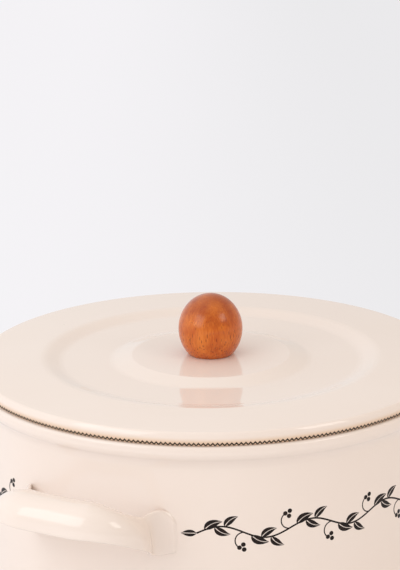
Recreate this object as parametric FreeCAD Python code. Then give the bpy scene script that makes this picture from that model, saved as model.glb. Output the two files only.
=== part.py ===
"""Lidded enamel cooking pot with two side handles and a round wooden knob.

Millimetres. The origin is the centre of the base on the table, +Z is up, and the
handles lie on the X axis. Pot, lid and knob are turned forms about Z.
"""
import FreeCAD
import Part

import math
import os

# Pot body: pressed steel sheet, enamelled on both sides
pot_inner_radius = 120.0
pot_sheet = 1.5
pot_seat_height = 129.4        # ledge that carries the lid
base_corner_radius = 14.0      # outer turn from base to wall
base_ring_width = 13.0         # flat ring that the pot stands on
base_ring_turn = 60.0          # soft turn from the ring into the raised middle
base_rise = 1.5                # middle of the underside above the table
base_rise_radius = 55.0        # flat middle of the underside
bead_reach = 3.5               # how far the bead below the lid stands out
bead_face = 1.9                # upright part of the bead
bead_turn = 5.0                # round lower side of the bead
bead_fillet = 8.0              # hollow curve from the bead into the wall
ledge_turn = 1.7               # outer turn from the bead to the ledge
neck_height = 2.6              # neck that stands up inside the lid
neck_turn = 0.6                # hollow turn at the foot of the neck

# Lid: pressed sheet, its edge turned down onto the ledge
lid_sheet = 1.5
lid_seat_gap = 0.3             # lid's foot above the ledge
lid_setback = 1.4              # the edge's corner inside the bead's outer side
lid_neck_clearance = 0.9       # inside of the lid's edge to the neck
lid_edge_height = 6.4          # from the lid's foot to the brim's outer side
lid_edge_side = 3.9            # from the foot to the corner between side and slope
lid_edge_lean = 10.0           # degrees that the side leans in towards its foot
lid_edge_run = 1.9             # sloped part of the edge, across
lid_edge_turn_top = 1.2
lid_edge_turn_side = 5.2
brim_inner_radius = 87.5       # brim, from here to the edge
brim_fall = 1.3                # the brim's outer side lies this much lower
step_foot_radius = 78.5        # foot of the step inside the brim
step_rise = 2.4                # brim's inner side above the sunk ring
step_turn = 9.0
ring_inner_radius = 52.0       # sunk flat ring, from here to the step
plateau_radius = 41.3          # raised middle that carries the knob
plateau_rise = 2.5             # plateau above the sunk ring
plateau_edge_turn = 2.5
plateau_foot_turn = 14.0

# Knob and what holds it
knob_radius = 16.8
knob_half_height = 18.6        # the ball is a little taller than wide
knob_centre_height = 13.7      # above the plateau, so the ball has a flat foot
knob_foot_round = 0.8
screw_radius = 2.5
screw_hole_clearance = 0.25
thread_clearance = 0.05
insert_wall = 1.0
insert_length = 12.0
insert_recess = 0.4            # insert's mouth inside the knob's foot
insert_end_room = 1.5          # drilled depth past the insert
screw_engagement = 10.0        # screw inside the insert
screw_head_radius = 4.75
screw_head_height = 3.2
screw_head_round = 1.4
recess_length = 5.0            # cross recess in the screw's head
recess_width = 1.1
recess_depth = 1.7
steel_washer_radius = 7.5
steel_washer_height = 1.2
soft_washer_radius = 8.5
soft_washer_height = 1.0

# Side handles: one pressed strip each, welded to the wall by its two feet
handle_sheet = 1.8
handle_leg_height = 84.0       # middle of the legs above the table, at the wall
handle_foot_raise = 1.3        # middle of the feet above the middle of the legs
handle_rise = 15.25            # middle of the grip above the middle of the legs
handle_foot_width = 23.6       # the strip's width at the feet
handle_leg_width = 18.3        # the strip's width where the legs leave the feet
handle_grip_width = 23.5       # the strip's width across the grip
handle_crown = 7.9             # arch of the strip's section at the grip
handle_edge_angle = 52.0       # degrees of the arch on each side of its crown
handle_tilt = 58.0             # degrees that the grip's face leans back
handle_stand_off = 32.9        # wall to the middle of the grip's strip
handle_straight = 23.6         # straight part of the grip
handle_corner_radius = 23.5    # bend at each end of the grip
handle_fold_radius = 12.0      # soft fold from leg to foot
handle_foot_span = 89.0        # across both feet
foot_corner_top = 11.0         # rounded upper corner of each foot
foot_corner_bottom = 3.0
flare_start = 1.0              # the foot's width holds this far off the wall
flare_end = 13.0               # and is the leg's width here
twist_start = 1.4              # the strip stays upright this far off the wall
rise_power = 1.4               # the strip rises by this power of the way out
width_power = 2.2              # and widens to the grip by this one
wall_trim = 0.6                # the feet are cut to the wall's curve by this much
station_pitch = 3.0            # spacing of the strip's sections along its run
corner_stations = 5            # sections round each foot's corner
arch_points = 9                # points across each side of a section

# Worked out from the sizes above
up = FreeCAD.Vector(0, 0, 1)
shortest_line = 0.001          # curves nearer than this meet without a line between
wall_radius = pot_inner_radius + pot_sheet
bead_radius = wall_radius + bead_reach
lid_radius = bead_radius - lid_setback
lid_foot = pot_seat_height + lid_seat_gap
lid_lean = math.radians(lid_edge_lean)
lid_lip_height = lid_foot + lid_sheet / 2 * (1 - math.sin(lid_lean))
lid_corner_height = lid_foot + lid_edge_side
lid_lip_radius = lid_radius - (lid_corner_height - lid_lip_height) * math.tan(lid_lean)
lid_mouth_radius = lid_lip_radius - lid_sheet / 2 * (1 + math.cos(lid_lean))
neck_radius = lid_mouth_radius - lid_neck_clearance
brim_edge_height = lid_foot + lid_edge_height
brim_height = brim_edge_height + brim_fall
ring_height = brim_height - step_rise
plateau_height = ring_height + plateau_rise
screw_hole_radius = screw_radius + screw_hole_clearance
insert_radius = screw_radius + insert_wall
insert_foot = plateau_height + insert_recess
soft_washer_foot = plateau_height - lid_sheet - soft_washer_height
steel_washer_foot = soft_washer_foot - steel_washer_height
screw_head_foot = steel_washer_foot - screw_head_height


def place(x, z):
    return FreeCAD.Vector(x, 0, z)


def rounded_line(corners, radii):
    """Lines through the corners, with each inner corner turned by its radius."""
    edges = []
    start = corners[0]
    for before, corner, after, radius in zip(corners, corners[1:], corners[2:], radii):
        to_before = (before - corner).normalize()
        to_after = (after - corner).normalize()
        half = to_before.getAngle(to_after) / 2
        inwards = (to_before + to_after).normalize()
        arc_start = corner + to_before * (radius / math.tan(half))
        arc_end = corner + to_after * (radius / math.tan(half))
        arc_middle = corner + inwards * (radius / math.sin(half) - radius)
        if start.distanceToPoint(arc_start) > shortest_line:
            edges.append(Part.LineSegment(start, arc_start).toShape())
        edges.append(Part.Arc(arc_start, arc_middle, arc_end).toShape())
        start = arc_end
    edges.append(Part.LineSegment(start, corners[-1]).toShape())
    return edges


def turned(edges):
    """Solid of revolution about Z from a closed outline."""
    outline = Part.Wire(Part.__sortEdges__(edges))
    return Part.Face(outline).revolve(FreeCAD.Vector(0, 0, 0), up, 360)


def turned_sheet(edges, thickness):
    """Turned sheet from its outer side, with a half-round edge."""
    outer = Part.Wire(edges)
    sides = [outer.makeOffset2D(way * thickness, openResult=True) for way in (1, -1)]
    inner = min(sides, key=lambda side: side.BoundBox.XMax)
    outer_start = edges[0].valueAt(edges[0].FirstParameter)
    outer_end = edges[-1].valueAt(edges[-1].LastParameter)
    inner_ends = [inner.OrderedVertexes[0].Point, inner.OrderedVertexes[-1].Point]
    inner_start, inner_end = sorted(inner_ends, key=outer_start.distanceToPoint)
    along = edges[-1].tangentAt(edges[-1].LastParameter)
    rounding = (outer_end + inner_end) / 2 + along * (thickness / 2)
    lip = Part.Arc(outer_end, rounding, inner_end).toShape()
    middle = Part.LineSegment(outer_start, inner_start).toShape()
    return turned(outer.Edges + inner.Edges + [lip, middle])


def disc(radius, bottom, height):
    return Part.makeCylinder(radius, height, place(0, bottom))


def pot_body():
    bead_angle = math.acos(1 - bead_reach / (bead_turn + bead_fillet))
    bead_top = pot_seat_height - ledge_turn - bead_face
    bead_corner = bead_top - bead_turn * math.tan(bead_angle / 2)
    wall_corner = bead_corner - bead_reach / math.tan(bead_angle)
    ring_inner_edge = wall_radius - base_corner_radius - base_ring_width
    rim = pot_seat_height + neck_height - pot_sheet / 2
    corners = [place(0, base_rise), place(base_rise_radius, base_rise),
               place(ring_inner_edge, 0), place(wall_radius, 0),
               place(wall_radius, wall_corner), place(bead_radius, bead_corner),
               place(bead_radius, pot_seat_height), place(neck_radius, pot_seat_height),
               place(neck_radius, rim)]
    turns = [base_ring_turn, base_ring_turn, base_corner_radius,
             bead_fillet, bead_turn, ledge_turn, neck_turn]
    return turned_sheet(rounded_line(corners, turns), pot_sheet)


def lid():
    corners = [place(screw_hole_radius, plateau_height),
               place(plateau_radius, plateau_height),
               place(ring_inner_radius, ring_height),
               place(step_foot_radius, ring_height),
               place(brim_inner_radius, brim_height),
               place(lid_radius - lid_edge_run, brim_edge_height),
               place(lid_radius, lid_corner_height),
               place(lid_lip_radius, lid_lip_height)]
    turns = [plateau_edge_turn, plateau_foot_turn, step_turn, step_turn,
             lid_edge_turn_top, lid_edge_turn_side]
    return turned_sheet(rounded_line(corners, turns), lid_sheet)


def knob_ball():
    centre = plateau_height + knob_centre_height
    top = centre + knob_half_height
    drilled = insert_foot + insert_length + insert_end_room
    oval = Part.Ellipse(place(0, top), place(knob_radius, centre), place(0, centre))
    side = oval.toShape(0, math.acos(-knob_centre_height / knob_half_height))
    foot_edge = side.valueAt(side.LastParameter)
    lines = Part.makePolygon([foot_edge, place(insert_radius, plateau_height),
                              place(insert_radius, drilled),
                              place(0, drilled + insert_radius / 2), place(0, top)])
    ball = turned([side] + lines.Edges)
    foot_rim = [e for e in ball.Edges if abs(e.BoundBox.XMax - foot_edge.x) < shortest_line]
    return ball.makeFillet(knob_foot_round, foot_rim)


def knob_insert():
    sleeve = disc(insert_radius, insert_foot, insert_length)
    return sleeve.cut(disc(screw_radius, insert_foot, insert_length))


def knob_screw():
    shank_top = insert_foot + screw_engagement
    shank_foot = steel_washer_foot
    shank = disc(screw_radius - thread_clearance, shank_foot, shank_top - shank_foot)
    head = disc(screw_head_radius, screw_head_foot, screw_head_height)
    lower_rims = [e for e in head.Edges if e.BoundBox.ZMax < screw_head_foot + thread_clearance]
    head = head.makeFillet(screw_head_round, [e for e in lower_rims if e.Length > screw_head_radius])
    screw = head.fuse(shank)
    corner = place(-recess_length / 2, screw_head_foot) - FreeCAD.Vector(0, recess_width / 2, 0)
    slot = Part.makeBox(recess_length, recess_width, recess_depth, corner)
    across = slot.copy()
    across.rotate(FreeCAD.Vector(0, 0, 0), up, 90)
    return screw.cut(slot.fuse(across)).removeSplitter()


def washer(radius, bottom, height):
    return disc(radius, bottom, height).cut(disc(screw_hole_radius, bottom, height))


def strip_run():
    """Arcs of the handle strip's middle line, from a foot to the middle of the grip."""
    foot_radius = wall_radius + handle_sheet / 2 - wall_trim
    bend_x = wall_radius + handle_stand_off - handle_corner_radius
    bend_y = handle_straight / 2
    # The fold's circle touches the foot's circle and the bend's circle from outside
    fold_reach = foot_radius + handle_fold_radius
    bend_reach = handle_corner_radius + handle_fold_radius
    bend_distance = math.hypot(bend_x, bend_y)
    apart = math.acos((fold_reach**2 + bend_distance**2 - bend_reach**2)
                      / (2 * fold_reach * bend_distance))
    fold_angle = math.atan2(bend_y, bend_x) + apart
    fold_x = fold_reach * math.cos(fold_angle)
    fold_y = fold_reach * math.sin(fold_angle)
    to_bend = math.atan2(bend_y - fold_y, bend_x - fold_x)
    foot_angle = math.asin(handle_foot_span / 2 / foot_radius)
    # Centre, radius, first and last angle, and 1 where the strip's outside faces away from the centre
    return [(0, 0, foot_radius, foot_angle, fold_angle, 1),
            (fold_x, fold_y, handle_fold_radius, fold_angle - math.pi, to_bend, -1),
            (bend_x, bend_y, handle_corner_radius, to_bend + math.pi, 0, 1)]


def strip_place(run, distance):
    """Point and outward side of the strip at a distance along its run from the foot's end."""
    for centre_x, centre_y, radius, first, last, side in run:
        length = abs(last - first) * radius
        if distance < length:
            angle = first + (last - first) * distance / length
            away = FreeCAD.Vector(math.cos(angle), math.sin(angle), 0)
            return FreeCAD.Vector(centre_x, centre_y, 0) + away * radius, away * side
        distance -= length
    grip_line = wall_radius + handle_stand_off
    return (FreeCAD.Vector(grip_line, handle_straight / 2 - distance, 0),
            FreeCAD.Vector(1, 0, 0))


def share_between(value, first, last):
    return min(max((value - first) / (last - first), 0), 1)


def eased(share):
    return share * share * (3 - 2 * share)


def corner_cut(radius, from_end):
    """How much a rounded corner takes off the foot's side at a distance from its end."""
    to_corner = max(radius - from_end, 0)
    return radius - math.sqrt(radius**2 - to_corner**2)


def strip_section(middle, outwards, from_end):
    """Loop round the strip's section: upright at the wall, arched and leant back at the grip."""
    off_wall = math.hypot(middle.x, middle.y) - wall_radius - handle_sheet / 2
    way_out = share_between(off_wall, twist_start, handle_stand_off - handle_sheet / 2)
    blend = eased(way_out)
    flare = 1 - eased(share_between(off_wall, flare_start, flare_end))
    top_cut = corner_cut(foot_corner_top, from_end)
    bottom_cut = corner_cut(foot_corner_bottom, from_end)
    width = handle_leg_width + (handle_grip_width - handle_leg_width) * way_out**width_power
    width += (handle_foot_width - handle_leg_width) * flare - top_cut - bottom_cut
    height = handle_leg_height + handle_rise * way_out**rise_power
    height += handle_foot_raise * flare + (bottom_cut - top_cut) / 2
    tilt = math.radians(handle_tilt) * blend
    face = outwards * math.cos(tilt) + up * math.sin(tilt)
    across = up * math.cos(tilt) - outwards * math.sin(tilt)
    centre = middle + up * height
    edge = math.radians(handle_edge_angle)
    depth = handle_crown * blend / (1 - math.cos(edge))
    reach = width / 2 / math.sin(edge)
    front = []
    back = []
    for step in range(arch_points):
        angle = edge * (2 * step / (arch_points - 1) - 1)
        arched = depth * (math.cos(angle) - math.cos(edge)) + handle_sheet / 2
        spot = centre + face * arched + across * (reach * math.sin(angle))
        square = face * (reach * math.cos(angle)) + across * (depth * math.sin(angle))
        front.append(spot)
        back.append(spot - square.normalize() * handle_sheet)
    return front + back[::-1]


def skin(loops):
    """Solid with a smooth cubic surface along loops of control points, closed by flat ends."""
    along = [4] + [1] * (len(loops) - 4) + [4]
    around = [1] * (len(loops[0]) + 1)
    surface = Part.BSplineSurface()
    surface.buildFromPolesMultsKnots(loops, along, around, list(range(len(along))),
                                     list(range(len(around))), False, True, 3, 3)
    ends = [Part.Face(Part.Wire([surface.uIso(u).toShape()])) for u in (0, len(along) - 1)]
    shell = Part.makeShell([surface.toShape()] + ends)
    shell.sewShape()
    return Part.makeSolid(shell)


def handle():
    """The handle on +X, its feet cut to the curve of the wall."""
    run = strip_run()
    run_length = sum(abs(arc[4] - arc[3]) * arc[2] for arc in run) + handle_straight / 2
    corner_steps = [math.pi / 2 * step / corner_stations for step in range(corner_stations)]
    distances = [foot_corner_top * (1 - math.cos(turn)) for turn in corner_steps]
    count = math.ceil((run_length - foot_corner_top) / station_pitch)
    pitch = (run_length - foot_corner_top) / count
    distances += [foot_corner_top + pitch * step for step in range(count + 1)]
    half = [strip_section(*strip_place(run, distance), distance) for distance in distances]
    mirrored = [[FreeCAD.Vector(p.x, -p.y, p.z) for p in loop] for loop in reversed(half[:-1])]
    wall = disc(wall_radius, 0, pot_seat_height)
    return skin(half + mirrored).cut(wall).Solids[0]


def turned_half_round(shape):
    """The same piece on the other side of the pot."""
    other = shape.copy()
    other.rotate(FreeCAD.Vector(0, 0, 0), up, 180)
    return other


right_handle = handle()
pieces = {
    "pot_body": pot_body(),
    "handle_right": right_handle,
    "handle_left": turned_half_round(right_handle),
    "lid": lid(),
    "knob": knob_ball(),
    "knob_insert": knob_insert(),
    "knob_screw": knob_screw(),
    "screw_washer": washer(steel_washer_radius, steel_washer_foot, steel_washer_height),
    "soft_washer": washer(soft_washer_radius, soft_washer_foot, soft_washer_height),
}

os.makedirs("parts", exist_ok=True)
for name, shape in pieces.items():
    solid = shape.Solids[0]
    solid.exportStep("parts/" + name + ".step")
    print(name, "solids", len(shape.Solids), "valid", solid.isValid(),
          "volume", round(solid.Volume, 1))
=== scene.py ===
import bpy
import bmesh
import math
from mathutils import Matrix, Vector


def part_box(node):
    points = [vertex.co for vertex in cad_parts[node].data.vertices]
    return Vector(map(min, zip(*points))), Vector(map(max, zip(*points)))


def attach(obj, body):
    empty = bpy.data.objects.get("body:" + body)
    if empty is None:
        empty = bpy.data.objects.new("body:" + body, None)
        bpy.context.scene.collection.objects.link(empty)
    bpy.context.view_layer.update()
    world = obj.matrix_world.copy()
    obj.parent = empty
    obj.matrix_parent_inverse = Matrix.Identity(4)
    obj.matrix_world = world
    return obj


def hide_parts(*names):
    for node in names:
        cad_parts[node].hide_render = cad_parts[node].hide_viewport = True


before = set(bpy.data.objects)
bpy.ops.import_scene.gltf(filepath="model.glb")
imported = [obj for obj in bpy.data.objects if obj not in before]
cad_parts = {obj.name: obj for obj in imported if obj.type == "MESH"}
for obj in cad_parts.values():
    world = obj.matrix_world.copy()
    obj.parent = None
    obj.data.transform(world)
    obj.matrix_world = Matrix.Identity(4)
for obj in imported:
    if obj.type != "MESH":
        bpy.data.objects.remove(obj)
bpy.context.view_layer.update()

# Enamel cooking pot with its lid on. The dictionaries hold millimetres and degrees.
mm = 0.001
origin = Vector((0, 0, 0))
up = Vector((0, 0, 1))


def boxOf(node):
    low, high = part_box(node)
    return low / mm, high / mm


# Colours and nodes

def colour(hexCode):
    # sRGB hex to linear RGBA
    parts = [int(hexCode[i:i + 2], 16) / 255 for i in (0, 2, 4)]
    linear = [p / 12.92 if p <= 0.04045 else ((p + 0.055) / 1.055) ** 2.4 for p in parts]
    return linear + [1]


def addNode(tree, kind, inputs=None, **settings):
    # one node with its settings; an input is a value or another node's output
    node = tree.nodes.new("ShaderNode" + kind)
    for name, value in settings.items():
        setattr(node, name, value)
    for name, value in (inputs or {}).items():
        if isinstance(value, bpy.types.NodeSocket):
            tree.links.new(value, node.inputs[name])
        else:
            node.inputs[name].default_value = value
    return node


def newMaterial(name):
    material = bpy.data.materials.new(name)
    material.use_nodes = True
    tree = material.node_tree
    shader = tree.nodes["Principled BSDF"]
    place = addNode(tree, "TexCoord").outputs["Object"]
    return material, tree, shader, place


def waveScale(pitch):
    # a wave texture repeats every pi / 10 where its scale is 1
    return math.pi / 10 / (pitch * mm)


# A Mix node on colours takes its share on input 0 and its two colours on inputs 6 and 7, and
# gives the mixed colour on output 2.

# Vitreous enamel: cream glass fused on pressed steel. A deep gloss with mirror reflections, on
# a surface that is not quite flat because the glass flowed in the kiln, with a few fired-in
# specks. The lid's lower edge gets painted shade: a darker, warmer tone.
enamelLook = {
    "cream": "ecdacc",
    "paleCream": "efdfd3",
    "speck": "8d7763",
    "paintedEdgeShade": "dfbd9c",       # painted shade: darker and warmer on the lid's turned edge, standing in for light bounced from the bead
    "paintedEdgeShadeShare": 0.9,
    "paintedEdgeShadeRise": (1.2, 4.2),  # the painted shade fades out upwards between these heights above the lid's foot
    "paintedEdgeShadeFrom": -0.27,      # lower than this is the pot, which gets no painted shade
    "cloudSize": 70,        # wide, faint changes of the cream
    "waveSize": 9,          # flow waves of the glass
    "waveHeight": 0.012,
    "grainSize": 1.4,       # finest texture that the kiln leaves
    "grainHeight": 0.0012,
    "speckPitch": 34,
    "speckRadius": 0.28,
    "speckCore": 0.7,       # share of a speck that is as dark as it gets
    "speckShare": 0.8,
    "roughness": 0.022,
    "ior": 1.52,
}


def enamelMaterial():
    look = enamelLook
    material, tree, shader, place = newMaterial("cream_vitreous_enamel")
    clouds = addNode(tree, "TexNoise", {"Vector": place, "Scale": 1 / (look["cloudSize"] * mm),
                                        "Detail": 2})
    cream = addNode(tree, "Mix", {0: clouds.outputs["Fac"], 6: colour(look["cream"]),
                                  7: colour(look["paleCream"])}, data_type="RGBA")
    cells = addNode(tree, "TexVoronoi", {"Vector": place,
                                         "Scale": 1 / (look["speckPitch"] * mm)})
    radius = look["speckRadius"] / look["speckPitch"]
    speck = addNode(tree, "MapRange", {"Value": cells.outputs["Distance"],
                                       "From Min": radius * look["speckCore"],
                                       "From Max": radius, "To Min": look["speckShare"],
                                       "To Max": 0})
    high = addNode(tree, "SeparateXYZ", {0: place}).outputs["Z"]
    # painted shade: a darker, warmer tone on the lid's lower edge, standing in for light
    # bounced from the bead
    foot = boxOf("lid")[0].z
    full, none = look["paintedEdgeShadeRise"]
    aboveFoot = addNode(tree, "Math", {0: high, 1: (foot + look["paintedEdgeShadeFrom"]) * mm},
                        operation="GREATER_THAN")
    fade = addNode(tree, "MapRange", {"Value": high, "From Min": (foot + full) * mm,
                                      "From Max": (foot + none) * mm, "To Max": 0,
                                      "To Min": look["paintedEdgeShadeShare"]},
                   interpolation_type="SMOOTHSTEP")
    paintedEdgeShade = addNode(tree, "Math", {0: aboveFoot.outputs[0], 1: fade.outputs[0]},
                   operation="MULTIPLY")
    # the cream mixed with the painted shade of the lid's edge
    coat = addNode(tree, "Mix", {0: paintedEdgeShade.outputs[0], 6: cream.outputs[2],
                                 7: colour(look["paintedEdgeShade"])}, data_type="RGBA")
    body = addNode(tree, "Mix", {0: speck.outputs[0], 6: coat.outputs[2],
                                 7: colour(look["speck"])}, data_type="RGBA")
    tree.links.new(body.outputs[2], shader.inputs["Base Color"])
    waves = addNode(tree, "TexNoise", {"Vector": place, "Scale": 1 / (look["waveSize"] * mm),
                                       "Detail": 1})
    grain = addNode(tree, "TexNoise", {"Vector": place, "Scale": 1 / (look["grainSize"] * mm),
                                       "Detail": 1})
    flow = addNode(tree, "Bump", {"Height": waves.outputs["Fac"], "Strength": 1,
                                  "Distance": look["waveHeight"] * mm})
    fine = addNode(tree, "Bump", {"Height": grain.outputs["Fac"], "Strength": 1,
                                  "Distance": look["grainHeight"] * mm,
                                  "Normal": flow.outputs["Normal"]})
    tree.links.new(fine.outputs["Normal"], shader.inputs["Normal"])
    shader.inputs["Roughness"].default_value = look["roughness"]
    shader.inputs["IOR"].default_value = look["ior"]
    return material


# Ceramic decal ink: a dark brown print fired into the enamel, duller than the glass round it
inkLook = {
    "dark": "170d09",
    "worn": "2f1f17",
    "mottle": 1.6,          # the printed colour is a little uneven
    "mottleFade": (0.45, 0.75),  # it is worn where the noise is over these values
    "roughness": 0.3,
    "gloss": 0.2,
}


def inkMaterial():
    look = inkLook
    material, tree, shader, place = newMaterial("fired_decal_ink")
    mottle = addNode(tree, "TexNoise", {"Vector": place, "Scale": 1 / (look["mottle"] * mm),
                                        "Detail": 3})
    first, last = look["mottleFade"]
    uneven = addNode(tree, "MapRange", {"Value": mottle.outputs["Fac"], "From Min": first,
                                        "From Max": last})
    tone = addNode(tree, "Mix", {0: uneven.outputs[0], 6: colour(look["dark"]),
                                 7: colour(look["worn"])}, data_type="RGBA")
    tree.links.new(tone.outputs[2], shader.inputs["Base Color"])
    shader.inputs["Roughness"].default_value = look["roughness"]
    shader.inputs["Specular IOR Level"].default_value = look["gloss"]
    return material


# Sizes of the knob, which its grain follows too

knobForm = {
    "radius": 16.75,
    "centre": 13.7,         # above the knob's foot
    "footTurn": 0.8,
    "footSegments": 4,
    "boreRadius": 3.5,
    "boreDepth": 13.9,
    "around": 96,
    "rings": 96,
    "cutWithin": 0.0001,    # points this near the foot's plane count as on it
}

# Stained beech, turned and lacquered: fibres run up the knob, so its sides show fine streaks
# and short dark pores, its colour is drawn darker towards the crown, and the satin lacquer
# follows the grain, so that its highlights break up.
woodLook = {
    "pale": "df7a28",
    "deep": "be520f",
    "crown": "8e3a10",
    "pore": "7a300a",
    "ringPitch": 3.4,       # year rings
    "ringShare": 0.14,
    "ringWaver": 1.5,
    "pithAside": (26, 18),  # the tree's middle lies outside the knob
    "streak": (0.7, 6),     # width and length
    "streakRoughness": 0.62,
    "patch": (7, 9),        # wide change of tone
    "toneFade": (0.75, 1.25),  # pale to deep, by the sum of the streaks and the patches
    "porePitch": (0.9, 5.5),  # spacing of the pores, across and along the fibres
    "poreSize": 0.27,       # share of that spacing
    "poreCore": 0.6,        # share of a pore that is as dark as it gets
    "poresFade": (13, -2),  # pores from few to many, above the knob's centre
    "crownFade": (5, 16),   # the crown darkens between these heights above the centre
    "crownSpread": 16,      # how far the patches shift the crown's edge
    "crownShare": 0.5,
    "grainHeight": 0.03,
    "roughness": 0.45,
    "gloss": 0.08,
    "coat": 0.8,
    "coatRoughness": 0.2,
}


def woodMaterial():
    look = woodLook
    material, tree, shader, place = newMaterial("lacquered_stained_beech")

    alongFibres = {}
    for name in ("streak", "patch", "porePitch"):
        across, along = (1 / (value * mm) for value in look[name])
        alongFibres[name] = addNode(tree, "Mapping", {"Vector": place, "Scale": (
            across, across, along)}).outputs[0]
    streaks = addNode(tree, "TexNoise", {"Vector": alongFibres["streak"], "Scale": 1,
                                         "Detail": 4, "Roughness": look["streakRoughness"]})
    patches = addNode(tree, "TexNoise", {"Vector": alongFibres["patch"], "Scale": 1,
                                         "Detail": 2})
    both = addNode(tree, "Math", {0: streaks.outputs["Fac"], 1: patches.outputs["Fac"]},
                   operation="ADD")
    first, last = look["toneFade"]
    deep = addNode(tree, "MapRange", {"Value": both.outputs[0], "From Min": first,
                                      "From Max": last})
    base = addNode(tree, "Mix", {0: deep.outputs[0], 6: colour(look["pale"]),
                                 7: colour(look["deep"])}, data_type="RGBA")
    aside = look["pithAside"]
    fromPith = addNode(tree, "Mapping", {"Vector": place,
                                         "Location": (aside[0] * mm, aside[1] * mm, 0)})
    rings = addNode(tree, "TexWave", {"Vector": fromPith.outputs[0],
                                      "Scale": waveScale(look["ringPitch"]),
                                      "Distortion": look["ringWaver"], "Detail": 2},
                    wave_type="RINGS", rings_direction="Z", wave_profile="SAW")
    faint = addNode(tree, "MapRange", {"Value": rings.outputs["Fac"],
                                       "To Max": look["ringShare"]})
    ringed = addNode(tree, "Mix", {0: faint.outputs[0], 6: base.outputs[2],
                                   7: colour(look["crown"])}, data_type="RGBA")
    high = addNode(tree, "SeparateXYZ", {0: place}).outputs["Z"]
    # the knob's colour is drawn darker towards its crown
    centre = boxOf("knob")[0].z + knobForm["centre"]
    first, last = ((centre + above) * mm for above in look["crownFade"])
    raised = addNode(tree, "Math", {0: patches.outputs["Fac"], 1: look["crownSpread"] * mm,
                                    2: high}, operation="MULTIPLY_ADD")
    shift = look["crownSpread"] / 2 * mm
    darker = addNode(tree, "MapRange", {"Value": raised.outputs[0], "From Min": first + shift,
                                        "From Max": last + shift,
                                        "To Max": look["crownShare"]})
    crowned = addNode(tree, "Mix", {0: darker.outputs[0], 6: ringed.outputs[2],
                                    7: colour(look["crown"])}, data_type="RGBA")
    pores = addNode(tree, "TexVoronoi", {"Vector": alongFibres["porePitch"], "Scale": 1})
    size = look["poreSize"]
    spots = addNode(tree, "MapRange", {"Value": pores.outputs["Distance"], "From Min": size,
                                       "From Max": size * look["poreCore"]})
    first, last = ((centre + above) * mm for above in look["poresFade"])
    many = addNode(tree, "MapRange", {"Value": high, "From Min": first, "From Max": last})
    dark = addNode(tree, "Math", {0: spots.outputs[0], 1: many.outputs[0]},
                   operation="MULTIPLY")
    wood = addNode(tree, "Mix", {0: dark.outputs[0], 6: crowned.outputs[2],
                                 7: colour(look["pore"])}, data_type="RGBA")
    tree.links.new(wood.outputs[2], shader.inputs["Base Color"])
    relief = addNode(tree, "Math", {0: streaks.outputs["Fac"], 1: dark.outputs[0]},
                     operation="SUBTRACT")
    grain = addNode(tree, "Bump", {"Height": relief.outputs[0], "Strength": 1,
                                   "Distance": look["grainHeight"] * mm})
    tree.links.new(grain.outputs["Normal"], shader.inputs["Normal"])
    tree.links.new(grain.outputs["Normal"], shader.inputs["Coat Normal"])
    shader.inputs["Roughness"].default_value = look["roughness"]
    shader.inputs["Specular IOR Level"].default_value = look["gloss"]
    shader.inputs["Coat Weight"].default_value = look["coat"]
    shader.inputs["Coat Roughness"].default_value = look["coatRoughness"]
    return material


# Stainless steel, turned: fine rings from the tool round the screw's head and the washer
steelLook = {"tone": "c9c8c6", "ringPitch": 0.35, "roughness": 0.28}

# Turned brass: warm yellow with the same fine tool rings
brassLook = {"tone": "c9a25c", "ringPitch": 0.4, "roughness": 0.3}

# What the tool leaves on both metals: shallow rings, and patches that are duller or brighter
toolMarks = {"depth": 0.01, "strength": 0.6, "patch": 3, "spread": 0.06}


def turnedMetal(name, look):
    material, tree, shader, place = newMaterial(name)
    rings = addNode(tree, "TexWave", {"Vector": place, "Scale": waveScale(look["ringPitch"])},
                    wave_type="RINGS", rings_direction="Z")
    marks = addNode(tree, "Bump", {"Height": rings.outputs["Fac"],
                                   "Strength": toolMarks["strength"],
                                   "Distance": toolMarks["depth"] * mm})
    tree.links.new(marks.outputs["Normal"], shader.inputs["Normal"])
    uneven = addNode(tree, "TexNoise", {"Vector": place,
                                        "Scale": 1 / (toolMarks["patch"] * mm)})
    gloss = addNode(tree, "MapRange", {"Value": uneven.outputs["Fac"],
                                       "To Min": look["roughness"] - toolMarks["spread"],
                                       "To Max": look["roughness"] + toolMarks["spread"]})
    tree.links.new(gloss.outputs[0], shader.inputs["Roughness"])
    shader.inputs["Base Color"].default_value = colour(look["tone"])
    shader.inputs["Metallic"].default_value = 1
    return material


# Silicone rubber: matt, off-white, moulded with a faint even grain
rubberLook = {"tone": "dedbd0", "grain": 0.5, "grainStrength": 0.5, "grainHeight": 0.02,
              "roughness": 0.62}


def rubberMaterial():
    look = rubberLook
    material, tree, shader, place = newMaterial("moulded_silicone")
    grain = addNode(tree, "TexNoise", {"Vector": place, "Scale": 1 / (look["grain"] * mm)})
    bump = addNode(tree, "Bump", {"Height": grain.outputs["Fac"],
                                  "Strength": look["grainStrength"],
                                  "Distance": look["grainHeight"] * mm})
    tree.links.new(bump.outputs["Normal"], shader.inputs["Normal"])
    shader.inputs["Base Color"].default_value = colour(look["tone"])
    shader.inputs["Roughness"].default_value = look["roughness"]
    return material


enamel = enamelMaterial()
ink = inkMaterial()
wood = woodMaterial()
steel = turnedMetal("turned_stainless_steel", steelLook)
brass = turnedMetal("turned_brass", brassLook)
rubber = rubberMaterial()
print("materials made")


# Shared modelling steps

meshing = {
    "merge": 0.0005,        # points nearer to each other than this become one
    "seamMerge": 0.001,     # and where a turned shell closes
    "sharpAngle": 50,       # edges that turn by more than this stay sharp
    "turnSegments": 10,
    "pitch": 4,             # longest straight edge of a turned profile
    "lipSegments": 4,
    "lipShare": 0.49,       # of the sheet: a lip's rounding, just short of its half
}


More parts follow.
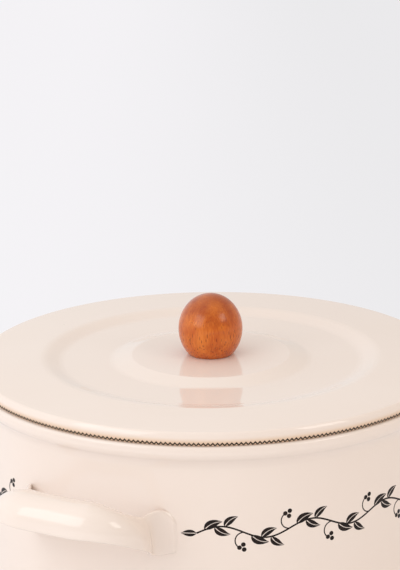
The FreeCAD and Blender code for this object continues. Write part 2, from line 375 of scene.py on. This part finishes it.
def addPiece(name, bm, material, body, sharp=meshing["sharpAngle"]):
    # the mesh becomes a smooth object that rides on its body
    bmesh.ops.remove_doubles(bm, verts=bm.verts[:], dist=meshing["merge"] * mm)
    bmesh.ops.recalc_face_normals(bm, faces=bm.faces[:])
    for face in bm.faces:
        face.smooth = True
    mesh = bpy.data.meshes.new(name)
    bm.to_mesh(mesh)
    bm.free()
    mesh.set_sharp_from_angle(angle=math.radians(sharp))
    mesh.materials.append(material)
    piece = bpy.data.objects.new(name, mesh)
    bpy.context.scene.collection.objects.link(piece)
    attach(piece, body)
    return piece


def roundedProfile(corners, turns):
    # a wire in the XZ plane through the corners, each inner corner rounded by its turn
    bm = bmesh.new()
    verts = [bm.verts.new((x * mm, 0, z * mm)) for x, z in corners]
    for first, second in zip(verts, verts[1:]):
        bm.edges.new((first, second))
    reaches = []
    for before, vert, after, turn in zip(verts, verts[1:], verts[2:], turns):
        half = (before.co - vert.co).angle(after.co - vert.co) / 2
        reaches.append(turn * mm / math.tan(half))
    for vert, reach in zip(verts[1:-1], reaches):
        bmesh.ops.bevel(bm, geom=[vert], offset=reach, offset_type="OFFSET",
                        affect="VERTICES", segments=meshing["turnSegments"], profile=0.5,
                        material=-1)
    for edge in bm.edges[:]:
        cuts = int(edge.calc_length() / (meshing["pitch"] * mm))
        if cuts:
            bmesh.ops.subdivide_edges(bm, edges=[edge], cuts=cuts)
    return bm


def spinRound(bm, steps):
    bmesh.ops.spin(bm, geom=bm.verts[:] + bm.edges[:], cent=origin, axis=up,
                   angle=math.tau, steps=steps, use_merge=True)
    bmesh.ops.remove_doubles(bm, verts=bm.verts[:], dist=meshing["seamMerge"] * mm)
    bmesh.ops.recalc_face_normals(bm, faces=bm.faces[:])


def sheetWall(bm, thickness):
    # a shell gets its sheet on the inner side, and its free edge a half-round lip
    rims = [e for e in bm.edges if e.is_boundary]
    before = set(bm.faces)
    bmesh.ops.solidify(bm, geom=bm.faces[:], thickness=thickness * mm)
    lips = {f for e in rims for f in e.link_faces if f not in before}
    edges = {e for f in lips for e in f.edges
             if sum(other in lips for other in e.link_faces) == 1}
    bmesh.ops.bevel(bm, geom=list(edges), offset=thickness * mm * meshing["lipShare"],
                    offset_type="OFFSET", affect="EDGES", segments=meshing["lipSegments"],
                    profile=0.5, material=-1)


# The pot: one pressed sheet from its raised base over the wall and the bead to the neck

potBody = {
    "sheet": 1.5,
    "baseCorner": 14,       # outer turn from base to wall
    "baseRing": 13,         # flat ring that the pot stands on
    "baseTurn": 60,
    "baseRise": 1.5,
    "baseFlat": 55,
    "beadReach": 3.5,       # the bead stands out this far from the wall
    "beadFace": 1.9,
    "beadTurn": 5,
    "beadHollow": 8,
    "ledgeTurn": 1.7,
    "neckInside": 4.37,     # neck's outside lies this far inside the bead
    "neckHeight": 2.6,
    "neckTurn": 0.6,
    "steps": 256,
}
potHigh = boxOf("pot_body")[1]
lidLow, lidHigh = boxOf("lid")
beadRadius = potHigh.x
wallRadius = beadRadius - potBody["beadReach"]


def makePot():
    size = potBody
    ledge = potHigh.z - size["neckHeight"]
    neck = beadRadius - size["neckInside"]
    turn = math.acos(1 - size["beadReach"] / (size["beadTurn"] + size["beadHollow"]))
    beadCorner = ledge - size["ledgeTurn"] - size["beadFace"]
    beadCorner -= size["beadTurn"] * math.tan(turn / 2)
    wallCorner = beadCorner - size["beadReach"] / math.tan(turn)
    ringInner = wallRadius - size["baseCorner"] - size["baseRing"]
    corners = [(0, size["baseRise"]), (size["baseFlat"], size["baseRise"]), (ringInner, 0),
               (wallRadius, 0), (wallRadius, wallCorner), (beadRadius, beadCorner),
               (beadRadius, ledge), (neck, ledge), (neck, potHigh.z)]
    turns = [size["baseTurn"], size["baseTurn"], size["baseCorner"], size["beadHollow"],
             size["beadTurn"], size["ledgeTurn"], size["neckTurn"]]
    bm = roundedProfile(corners, turns)
    spinRound(bm, size["steps"])
    sheetWall(bm, size["sheet"])
    piece = addPiece("pot_shell", bm, enamel, "pot")
    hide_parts("pot_body")


makePot()
print("pot made")


# The lid: a plateau under the knob, a sunk ring, a soft step up to the brim, and an edge that
# turns down onto the ledge

lidForm = {
    "sheet": 1.5,
    "seat": 0.24,           # the edge reaches this much lower, down to the ledge
    "screwHole": 2.75,
    "plateau": 41.3,
    "plateauRise": 2.5,
    "plateauTurn": 2.5,
    "coneFoot": 52,
    "coneTurn": 14,
    "stepFoot": 78.5,
    "stepRise": 2.4,
    "stepTurn": 15,
    "brimInner": 87.5,
    "brimFall": 1.3,
    "edgeRun": 1.9,
    "edgeSide": 3.9,
    "edgeLean": 10,         # degrees that the edge leans in towards its foot
    "cornerOut": 0.316,     # the side's corner lies this far outside its round
    "edgeTopTurn": 1.2,
    "edgeSideTurn": 5.2,
    "steps": 256,
}

lidLean = math.radians(lidForm["edgeLean"])
lidSide = lidHigh.x + lidForm["cornerOut"]
lidFoot = lidLow.z - lidForm["seat"]
edgeSide = lidForm["edgeSide"] + lidForm["seat"]


def onEdge(height):
    # radius of the leaning edge at a height above the lid's foot
    return lidSide - (edgeSide - height) * math.tan(lidLean)


def makeLid():
    size = lidForm
    top = lidHigh.z
    ring = top - size["plateauRise"]
    brim = ring + size["stepRise"]
    end = size["sheet"] / 2 * (1 - math.sin(lidLean) - math.cos(lidLean))
    corners = [(size["screwHole"], top), (size["plateau"], top), (size["coneFoot"], ring),
               (size["stepFoot"], ring), (size["brimInner"], brim),
               (lidSide - size["edgeRun"], brim - size["brimFall"]),
               (lidSide, lidFoot + edgeSide), (onEdge(end), lidFoot + end)]
    turns = [size["plateauTurn"], size["coneTurn"], size["stepTurn"], size["stepTurn"],
             size["edgeTopTurn"], size["edgeSideTurn"]]
    bm = roundedProfile(corners, turns)
    spinRound(bm, size["steps"])
    sheetWall(bm, size["sheet"])
    piece = addPiece("lid_shell", bm, enamel, "lid")
    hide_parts("lid")


makeLid()
print("lid made")


# The side handles: a pressed strip that stands upright at the wall, folds out, bends round,
# rises, leans back and arches across the grip. Each point of the strip is found from its
# distance along that run and its place across it.

handleForm = {
    "sheet": 1.8,
    "legHeight": 84,        # middle of the legs above the table, at the wall
    "footRaise": 1.3,       # middle of the feet above the middle of the legs
    "rise": 15.25,
    "footWidth": 23.6,
    "legWidth": 18.3,
    "gripWidth": 23.5,
    "crown": 7.9,
    "edgeAngle": 52,
    "tilt": 58,
    "standOff": 32.9,
    "straight": 23.6,
    "bend": 23.5,
    "fold": 12,
    "footSpan": 89,
    "cornerTop": 11,        # rounded corners of the feet
    "cornerBottom": 3,
    "flare": (1, 13),       # the feet narrow to the legs between these distances off the wall
    "twistStart": 1.4,
    "risePower": 1.4,
    "widthPower": 2.2,
    "wallTrim": 0.6,
    "slope": 2.6,           # enamel fills the step round a foot: its edge slopes this wide
    "slopeDepth": 1.4,
    "slopeFade": (-0.4, 2),  # and the slope ends between these distances off the wall
    "stations": 150,
    "spacing": 1.25,        # power that draws the stations together towards the feet
    "across": 16,
    "smoothing": 2,
}


def handleRun():
    # centre, radius, first and last angle of each arc, and the side that faces away
    size = handleForm
    foot = wallRadius + size["sheet"] / 2 - size["wallTrim"]
    bendX = wallRadius + size["standOff"] - size["bend"]
    bendY = size["straight"] / 2
    foldReach = foot + size["fold"]
    bendReach = size["bend"] + size["fold"]
    away = math.hypot(bendX, bendY)
    apart = math.acos((foldReach ** 2 + away ** 2 - bendReach ** 2) / (2 * foldReach * away))
    foldAngle = math.atan2(bendY, bendX) + apart
    foldX, foldY = foldReach * math.cos(foldAngle), foldReach * math.sin(foldAngle)
    toBend = math.atan2(bendY - foldY, bendX - foldX)
    footAngle = math.asin(size["footSpan"] / 2 / foot)
    return [(0, 0, foot, footAngle, foldAngle, 1),
            (foldX, foldY, size["fold"], foldAngle - math.pi, toBend, -1),
            (bendX, bendY, size["bend"], toBend + math.pi, 0, 1)]


def alongRun(run, distance):
    for centreX, centreY, radius, first, last, side in run:
        length = abs(last - first) * radius
        if distance < length:
            angle = first + (last - first) * distance / length
            away = Vector((math.cos(angle), math.sin(angle), 0))
            return Vector((centreX, centreY, 0)) + away * radius, away * side
        distance -= length
    return (Vector((wallRadius + handleForm["standOff"],
                    handleForm["straight"] / 2 - distance, 0)), Vector((1, 0, 0)))


def shareBetween(value, first, last):
    return min(max((value - first) / (last - first), 0), 1)


def eased(share):
    return share * share * (3 - 2 * share)


def cornerCut(radius, fromEnd):
    toCorner = max(radius - fromEnd, 0)
    return radius - math.sqrt(radius ** 2 - toCorner ** 2)


def stripPoint(middle, outwards, fromEnd, across):
    # across runs from -1 at the lower edge to 1 at the upper edge
    size = handleForm
    offWall = middle.to_2d().length - wallRadius - size["sheet"] / 2
    wayOut = shareBetween(offWall, size["twistStart"], size["standOff"] - size["sheet"] / 2)
    blend = eased(wayOut)
    flare = 1 - eased(shareBetween(offWall, *size["flare"]))
    topCut = cornerCut(size["cornerTop"], fromEnd)
    bottomCut = cornerCut(size["cornerBottom"], fromEnd)
    widened = (size["gripWidth"] - size["legWidth"]) * wayOut ** size["widthPower"]
    width = size["legWidth"] + widened
    width += (size["footWidth"] - size["legWidth"]) * flare - topCut - bottomCut
    height = size["legHeight"] + size["rise"] * wayOut ** size["risePower"]
    height += size["footRaise"] * flare + (bottomCut - topCut) / 2
    tilt = math.radians(size["tilt"]) * blend
    face = outwards * math.cos(tilt) + up * math.sin(tilt)
    sideways = up * math.cos(tilt) - outwards * math.sin(tilt)
    edge = math.radians(size["edgeAngle"])
    angle = edge * across
    depth = size["crown"] * blend / (1 - math.cos(edge))
    arched = depth * (math.cos(angle) - math.cos(edge)) + size["sheet"] / 2
    reach = width / 2 / math.sin(edge) * math.sin(angle)
    return middle + up * height + face * arched + sideways * reach


def slopeDrop(middle, fromEnd, across):
    # how far the outer face lies below the sheet's face, at the edge of a foot
    size = handleForm
    offWall = middle.to_2d().length - wallRadius - size["sheet"] / 2
    toSide = size["footWidth"] / 2 * (1 - abs(across))
    inside = 1
    for distance in (toSide, fromEnd):
        inside *= eased(shareBetween(distance, 0, size["slope"]))
    near = 1 - eased(shareBetween(offWall, *size["slopeFade"]))
    return size["slopeDepth"] * (1 - inside) * near


def makeHandle(name, node, turn):
    size = handleForm
    run = handleRun()
    half = sum(abs(last - first) * radius for _, _, radius, first, last, _ in run)
    half += size["straight"] / 2
    bm = bmesh.new()
    bmesh.ops.create_grid(bm, x_segments=size["stations"], y_segments=size["across"], size=1)
    outer, drops = bm.verts[:], []
    for vert in outer:
        fromEnd = half * (1 - abs(vert.co.x)) ** size["spacing"]
        middle, outwards = alongRun(run, fromEnd)
        side = -1 if vert.co.x < 0 else 1
        point = stripPoint(middle, outwards, fromEnd, vert.co.y)
        drops.append(slopeDrop(middle, fromEnd, vert.co.y))
        vert.co = Vector((point.x, point.y * side, point.z)) * mm
    bmesh.ops.recalc_face_normals(bm, faces=bm.faces[:])
    if sum(f.normal.x for f in bm.faces) < 0:
        bmesh.ops.reverse_faces(bm, faces=bm.faces[:])
    bmesh.ops.solidify(bm, geom=bm.faces[:], thickness=size["sheet"] * mm)
    for vert, drop in zip(outer, drops):
        vert.co -= Vector((vert.co.x, vert.co.y, 0)).normalized() * drop * mm
    bmesh.ops.rotate(bm, verts=bm.verts[:], cent=origin, matrix=Matrix.Rotation(turn, 3, "Z"))
    piece = addPiece(name, bm, enamel, "pot", sharp=180)
    smooth = piece.modifiers.new("Subdivision", "SUBSURF")
    smooth.levels = smooth.render_levels = size["smoothing"]
    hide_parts(node)


makeHandle("handle_strip_right", "handle_right", 0)
makeHandle("handle_strip_left", "handle_left", math.pi)
print("handles made")


# The knob: a turned ball a little taller than wide, flat at its foot, drilled for the insert

knobLow, knobHigh = boxOf("knob")


def makeKnob():
    size = knobForm
    bm = bmesh.new()
    bmesh.ops.create_uvsphere(bm, u_segments=size["around"], v_segments=size["rings"],
                              radius=size["radius"] * mm)
    tall = (knobHigh.z - knobLow.z - size["centre"]) / size["radius"]
    bmesh.ops.scale(bm, verts=bm.verts[:], vec=(1, 1, tall))
    bmesh.ops.translate(bm, verts=bm.verts[:], vec=up * (knobLow.z + size["centre"]) * mm)
    foot = up * knobLow.z * mm
    bmesh.ops.bisect_plane(bm, geom=bm.verts[:] + bm.edges[:] + bm.faces[:],
                           dist=size["cutWithin"] * mm, plane_co=foot, plane_no=up,
                           clear_inner=True)
    rim = [e for e in bm.edges if e.is_boundary]
    radius = max(v.co.to_2d().length for e in rim for v in e.verts)
    footRim = rim
    for scale, rise in ((size["boreRadius"] * mm / radius, 0), (1, size["boreDepth"])):
        grown = bmesh.ops.extrude_edge_only(bm, edges=rim)["geom"]
        verts = [g for g in grown if isinstance(g, bmesh.types.BMVert)]
        rim = [g for g in grown if isinstance(g, bmesh.types.BMEdge)
               and all(v in verts for v in g.verts)]
        bmesh.ops.scale(bm, verts=verts, vec=(scale, scale, 1))
        bmesh.ops.translate(bm, verts=verts, vec=up * rise * mm)
    bmesh.ops.contextual_create(bm, geom=rim)
    bmesh.ops.bevel(bm, geom=footRim, offset=size["footTurn"] * mm, offset_type="OFFSET",
                    affect="EDGES", segments=size["footSegments"], profile=0.5, material=-1)
    piece = addPiece("wooden_knob", bm, wood, "lid")
    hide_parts("knob")


makeKnob()
print("knob made")

# The knob's screw, washers and insert keep their solids and get their metal and rubber

for node, finish in (("knob_screw", steel), ("screw_washer", steel), ("knob_insert", brass),
                     ("soft_washer", rubber)):
    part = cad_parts[node]
    part.data.materials.clear()
    part.data.materials.append(finish)


# The printed zigzag round the lid's lower edge

zigzagForm = {
    "teeth": 342,
    "height": 1.22,         # from the middle of the line's low turns to its high turns
    "line": 0.66,
    "middle": 1.0,          # above the lid's foot
    "film": 0.06,           # thickness of the print
    "rows": 6,              # the print bends round the lip between these
    "columns": 4,           # on each side of a tooth's tip
    "merge": 0.01,          # a tooth joins the next where their points are nearer than this
}


def wrapOn(bm, radius):
    # a flat print with X along the wall and Z up is wrapped round the pot
    for vert in bm.verts:
        angle = vert.co.x / (radius * mm)
        away = radius * mm + vert.co.y
        vert.co = Vector((away * math.cos(angle), away * math.sin(angle), vert.co.z))


def makeZigzag():
    size = zigzagForm
    pitch = math.tau * lidHigh.x / size["teeth"]
    slope = math.hypot(pitch / 2, size["height"])
    tall = size["line"] * slope / (pitch / 2) / 2
    low = lidFoot + size["middle"] - size["height"] / 2
    bm = bmesh.new()
    rows = range(-size["rows"], size["rows"] + 1, 2)
    columns = []
    for column in range(-size["columns"], size["columns"] + 1):
        share = column / size["columns"]
        middle = low + size["height"] * (1 - abs(share))
        heights = [middle + row / size["rows"] * tall for row in rows]
        columns.append([bm.verts.new((share * pitch / 2 * mm, 0, height * mm))
                        for height in heights])
    for left, right in zip(columns, columns[1:]):
        for a, b, c, d in zip(left, left[1:], right, right[1:]):
            bm.faces.new((a, c, d, b))
    wrapOn(bm, lidHigh.x)
    bmesh.ops.spin(bm, geom=bm.verts[:] + bm.edges[:] + bm.faces[:], cent=origin, axis=up,
                   angle=math.tau, steps=size["teeth"], use_duplicate=True)
    bmesh.ops.remove_doubles(bm, verts=bm.verts[:], dist=size["merge"] * mm)
    lip = lidForm["sheet"] / 2
    lipTop = lip * (1 - math.sin(lidLean))
    for vert in bm.verts:
        height = vert.co.z / mm - lidFoot
        radius = onEdge(height)
        if height < lipTop:
            radius = onEdge(lipTop) - lip * math.cos(lidLean)
            radius += math.sqrt(max(lip ** 2 - (lip - height) ** 2, 0))
        flat = vert.co.to_2d().normalized() * (radius + size["film"] / 2) * mm
        vert.co.x, vert.co.y = flat
    bmesh.ops.recalc_face_normals(bm, faces=bm.faces[:])
    bmesh.ops.solidify(bm, geom=bm.faces[:], thickness=size["film"] * mm)
    addPiece("zigzag_print", bm, ink, "lid")


makeZigzag()
print("zigzag made")


# The printed vine on the wall: a waving stem with leaves on both sides and a curl with berries
# in each bend, on both sides of the pot from handle to handle

vineForm = {
    "middle": 84.8,         # above the table
    "fromHandle": 25.6,     # degrees from a handle's middle to the vine's end
    "waves": 6,
    "swing": 3.4,
    "stem": 0.85,
    "wavePoints": 28,       # of the stem, in each wave
    # each leaf's place from a bend's crest, its side, its lean and its size
    "leaves": ((-7.5, 1, 40, 1), (2.2, 1, 52, 0.86), (-2.6, -1, 42, 0.9)),
    "endLeaf": 0.8,         # size of the leaf at each end of the stem
    "leafLength": 9.5,
    "leafWidth": 4.4,
    "leafSteps": 8,
    "leafPower": 0.8,       # under 1 puts a leaf's widest place nearer to its root
    "leafBend": -0.5,       # radians from root to tip
    "leafTip": 0.06,        # least width of the print
    "vein": 0.35,           # unprinted line along each leaf
    "curl": 4.2,            # radius of the curls
    "curlArc": (90, 150),   # first angle and how far it turns
    "curlSteps": 12,
    "curlLine": 0.6,
    "berry": 1.15,
    "berries": ((0, 0), (1.9, 1.5), (2.3, -1.1)),  # from the curl's end
    "berrySides": 20,
    "film": 0.06,
}


def stroke(bm, points, widths):
    # a printed line in the XZ plane through the points, as wide as asked at each of them
    pairs = []
    for index, (point, width) in enumerate(zip(points, widths)):
        before, after = points[max(index - 1, 0)], points[min(index + 1, len(points) - 1)]
        run = (after - before).normalized()
        aside = Vector((-run.z, 0, run.x)) * width / 2
        pairs.append([bm.verts.new((point - aside) * mm), bm.verts.new((point + aside) * mm)])
    for (a, b), (c, d) in zip(pairs, pairs[1:]):
        bm.faces.new((a, c, d, b))


def leaf(bm, root, heading, length, width, bend):
    # two printed halves with the vein left open between them, bent along the leaf
    count = vineForm["leafSteps"]
    for side in (-1, 1):
        points, widths = [], []
        for step in range(count + 1):
            share = step / count
            turn = heading + bend * (share - 0.5)
            run = Vector((math.cos(turn), 0, math.sin(turn)))
            half = width / 2 * math.sin(math.pi * share ** vineForm["leafPower"])
            veinSide = vineForm["vein"] / 2
            middle = root + run * length * share
            aside = Vector((-run.z, 0, run.x)) * side
            points.append(middle + aside * (veinSide + half) / 2)
            widths.append(max(half - veinSide, vineForm["leafTip"]))
        stroke(bm, points, widths)


def makeVine(name, turn):
    size = vineForm
    span = math.pi - 2 * math.radians(size["fromHandle"])
    length = span * wallRadius
    wave = length / size["waves"]
    middle = Vector((0, 0, size["middle"]))

    def onStem(x):
        return middle + Vector((x, 0, size["swing"] * math.sin(math.tau * x / wave)))

    bm = bmesh.new()
    count = size["waves"] * size["wavePoints"]
    points = [onStem(length * step / count) for step in range(count + 1)]
    stroke(bm, points, [size["stem"]] * (count + 1))
    for bend in range(2 * size["waves"]):
        side = 1 if bend % 2 == 0 else -1
        crest = wave * (bend / 2 + 0.25)
        for along, way, tilt, scale in size["leaves"]:
            leaf(bm, onStem(crest + along), math.radians(tilt) * way * side,
                 size["leafLength"] * scale, size["leafWidth"] * scale,
                 size["leafBend"] * way * side)
        root = onStem(crest + wave / 4)
        start, sweep = size["curlArc"]
        curl = []
        for step in range(size["curlSteps"] + 1):
            angle = math.radians(start + sweep * step / size["curlSteps"])
            curl.append(root + Vector((size["curl"] * math.cos(angle), 0,
                                       side * size["curl"] * (math.sin(angle) - 1))))
        stroke(bm, curl, [size["curlLine"]] * len(curl))
        for across, rise in size["berries"]:
            berry = curl[-1] + Vector((across, 0, rise * side))
            place = Matrix.Translation(berry * mm) @ Matrix.Rotation(math.pi / 2, 4, "X")
            bmesh.ops.create_circle(bm, cap_ends=True, segments=size["berrySides"],
                                    matrix=place, radius=size["berry"] * mm)
    for end, heading in ((0, math.pi), (length, 0)):
        leaf(bm, onStem(end), heading, size["leafLength"] * size["endLeaf"],
             size["leafWidth"] * size["endLeaf"], 0)
    wrapOn(bm, wallRadius)
    bmesh.ops.rotate(bm, verts=bm.verts[:], cent=origin,
                     matrix=Matrix.Rotation(turn + math.radians(size["fromHandle"]), 3, "Z"))
    bm.normal_update()
    for face in bm.faces:
        if face.normal.dot(face.calc_center_median()) < 0:
            face.normal_flip()
    for vert in bm.verts:
        flat = vert.co.to_2d().normalized() * (wallRadius + size["film"] / 2) * mm
        vert.co.x, vert.co.y = flat
    bmesh.ops.solidify(bm, geom=bm.faces[:], thickness=size["film"] * mm)
    addPiece(name, bm, ink, "pot")


makeVine("vine_print_back", 0)
makeVine("vine_print_front", math.pi)
print("vine made")


# Floor, lights and camera

camera = {
    "aim": (-5.3, 12, 171.2),     # from the pot's axis, before the turn
    "distance": 1250,
    "elevation": 17.6847,
    "pivot": 131.3,
    "turn": -60.8,
    "roll": -0.59,
    "lens": 150.37,
    "seesTo": 50000,
}


def turned(point):
    return Matrix.Rotation(math.radians(camera["turn"]), 3, "Z") @ Vector(point)


def makeCamera():
    view = camera
    rise = math.radians(view["elevation"])
    place = turned((0, -view["distance"] * math.cos(rise),
                    view["pivot"] + view["distance"] * math.sin(rise)))
    aim = turned(view["aim"])
    data = bpy.data.cameras.new("camera")
    data.lens = view["lens"]
    data.clip_end = view["seesTo"] * mm
    eye = bpy.data.objects.new("camera", data)
    eye.location = place * mm
    look = (aim - place).to_track_quat("-Z", "Y").to_matrix()
    roll = Matrix.Rotation(math.radians(view["roll"]), 3, "Z")
    eye.rotation_euler = (look @ roll).to_euler()
    bpy.context.scene.collection.objects.link(eye)
    bpy.context.scene.camera = eye


makeCamera()

stageLook = {
    "radius": 6000,
    "sides": 96,            # of the round floor
    "floorDrop": 0.2,       # the floor lies this far under the pot
    "paper": "f6f5f6",
    "paperRoughness": 0.9,
    "paperPaintedLighter": "f6f4f7",
    "paperPaintedDarker": "ebeaec",
    "fade": (-180, 200),    # painted shade: the paper is drawn from lighter to darker between these places
    "keep": 0.85,           # share of the plain paper colour that the camera sees
    "sky": "f4f2f5",        # what the camera sees above the floor
    "glowLeft": "ffffff",   # what reflections see behind the pot
    "glowRight": "d4cfcb",
    "glowFade": 0.3,        # sine of the angle over which the glow changes
    "glowFront": "7f7a77",  # and on the camera's side of the room, which is darker
    "frontFade": (0.05, 0.75),
    "fillLeft": "f3f8ff",   # the room is brighter and cooler on the left
    "fillRight": "cbc4bb",
    "fill": 1.18,
}


def seenDirectly(tree):
    # 1 for what the camera, a reflection or glass looks at, 0 for light that falls on the pot
    path = addNode(tree, "LightPath")
    seen = addNode(tree, "Math", {0: path.outputs["Is Camera Ray"],
                                  1: path.outputs["Is Glossy Ray"]}, operation="MAXIMUM")
    return addNode(tree, "Math", {0: seen.outputs[0],
                                  1: path.outputs["Is Transmission Ray"]},
                   operation="MAXIMUM").outputs[0]


def makeFloor():
    look = stageLook
    bm = bmesh.new()
    bmesh.ops.create_circle(bm, cap_ends=True, segments=look["sides"],
                            radius=look["radius"] * mm)
    mesh = bpy.data.meshes.new("floor")
    bm.to_mesh(mesh)
    bm.free()
    floor = bpy.data.objects.new("floor", mesh)
    floor.location.z = -look["floorDrop"] * mm
    floor.rotation_euler.z = math.radians(camera["turn"])
    bpy.context.scene.collection.objects.link(floor)
    material = bpy.data.materials.new("white_paper")
    material.use_nodes = True
    tree = material.node_tree
    shader = tree.nodes["Principled BSDF"]
    shader.inputs["Base Color"].default_value = colour(look["paper"])
    shader.inputs["Roughness"].default_value = look["paperRoughness"]
    place = addNode(tree, "TexCoord").outputs["Object"]
    sideways = addNode(tree, "SeparateXYZ", {0: place})
    # painted shade: the paper is drawn darker from left to right, as the light falls off
    first, last = look["fade"]
    fade = addNode(tree, "MapRange", {"Value": sideways.outputs["X"], "From Min": first * mm,
                                      "From Max": last * mm}, interpolation_type="SMOOTHSTEP")
    tone = addNode(tree, "Mix", {0: fade.outputs[0], 6: colour(look["paperPaintedLighter"]),
                                 7: colour(look["paperPaintedDarker"])}, data_type="RGBA")
    glow = addNode(tree, "Emission", {"Color": tone.outputs[2]})
    share = addNode(tree, "Math", {0: seenDirectly(tree), 1: look["keep"]},
                    operation="MULTIPLY")
    both = addNode(tree, "MixShader", {0: share.outputs[0], 1: shader.outputs[0],
                                       2: glow.outputs[0]})
    tree.links.new(both.outputs[0], tree.nodes["Material Output"].inputs["Surface"])
    mesh.materials.append(material)


def makeWorld():
    look = stageLook
    world = bpy.data.worlds.new("studio")
    bpy.context.scene.world = world
    world.use_nodes = True
    tree = world.node_tree
    heading = addNode(tree, "TexCoord").outputs["Generated"]
    across = addNode(tree, "VectorMath", {0: heading, 1: turned((1, 0, 0))},
                     operation="DOT_PRODUCT")
    share = addNode(tree, "MapRange", {"Value": across.outputs["Value"], "From Min": -1})
    room = addNode(tree, "Mix", {0: share.outputs[0], 6: colour(look["fillLeft"]),
                                 7: colour(look["fillRight"])}, data_type="RGBA")
    fill = tree.nodes["Background"]
    tree.links.new(room.outputs[2], fill.inputs["Color"])
    fill.inputs["Strength"].default_value = look["fill"]
    shade = addNode(tree, "MapRange", {"Value": across.outputs["Value"],
                                       "From Min": -look["glowFade"],
                                       "From Max": look["glowFade"]},
                    interpolation_type="SMOOTHSTEP")
    behind = addNode(tree, "Mix", {0: shade.outputs[0], 6: colour(look["glowLeft"]),
                                   7: colour(look["glowRight"])}, data_type="RGBA")
    forwards = addNode(tree, "VectorMath", {0: heading, 1: turned((0, -1, 0))},
                       operation="DOT_PRODUCT")
    first, last = look["frontFade"]
    near = addNode(tree, "MapRange", {"Value": forwards.outputs["Value"], "From Min": first,
                                      "From Max": last}, interpolation_type="SMOOTHSTEP")
    tone = addNode(tree, "Mix", {0: near.outputs[0], 6: behind.outputs[2],
                                 7: colour(look["glowFront"])}, data_type="RGBA")
    toCamera = addNode(tree, "LightPath").outputs["Is Camera Ray"]
    seen = addNode(tree, "Mix", {0: toCamera, 6: tone.outputs[2], 7: colour(look["sky"])},
                   data_type="RGBA")
    glow = addNode(tree, "Background", {"Color": seen.outputs[2]})
    both = addNode(tree, "MixShader", {0: seenDirectly(tree), 1: fill.outputs[0],
                                       2: glow.outputs[0]})
    tree.links.new(both.outputs[0], tree.nodes["World Output"].inputs["Surface"])


softboxes = {
    "left_softbox": {"azimuth": -48, "elevation": 28, "distance": 900, "side": 540,
                     "level": 2.0, "tone": "f7fbff"},
    "right_softbox": {"azimuth": 57, "elevation": 35, "distance": 1400, "side": 500,
                      "level": 2.9, "tone": "fffaf5"},
}
lampAim = 130               # height of the point that both softboxes face


def makeLight(name, box):
    # azimuth from the camera's side of the pot, to its right; level 1 is white
    data = bpy.data.lights.new(name, "AREA")
    data.color = colour(box["tone"])[:3]
    data.shape = "SQUARE"
    data.size = box["side"] * mm
    data.energy = box["level"] * math.pi * data.size ** 2
    lamp = bpy.data.objects.new(name, data)
    across, rise = math.radians(box["azimuth"]), math.radians(box["elevation"])
    away = turned((math.sin(across) * math.cos(rise), -math.cos(across) * math.cos(rise),
                   math.sin(rise)))
    lamp.location = away * box["distance"] * mm + up * lampAim * mm
    lamp.rotation_euler = away.to_track_quat("Z", "Y").to_euler()
    lamp.visible_camera = False
    bpy.context.scene.collection.objects.link(lamp)


makeFloor()
makeWorld()
for name, box in softboxes.items():
    makeLight(name, box)
bpy.context.scene.view_settings.view_transform = "Standard"
print("stage made")
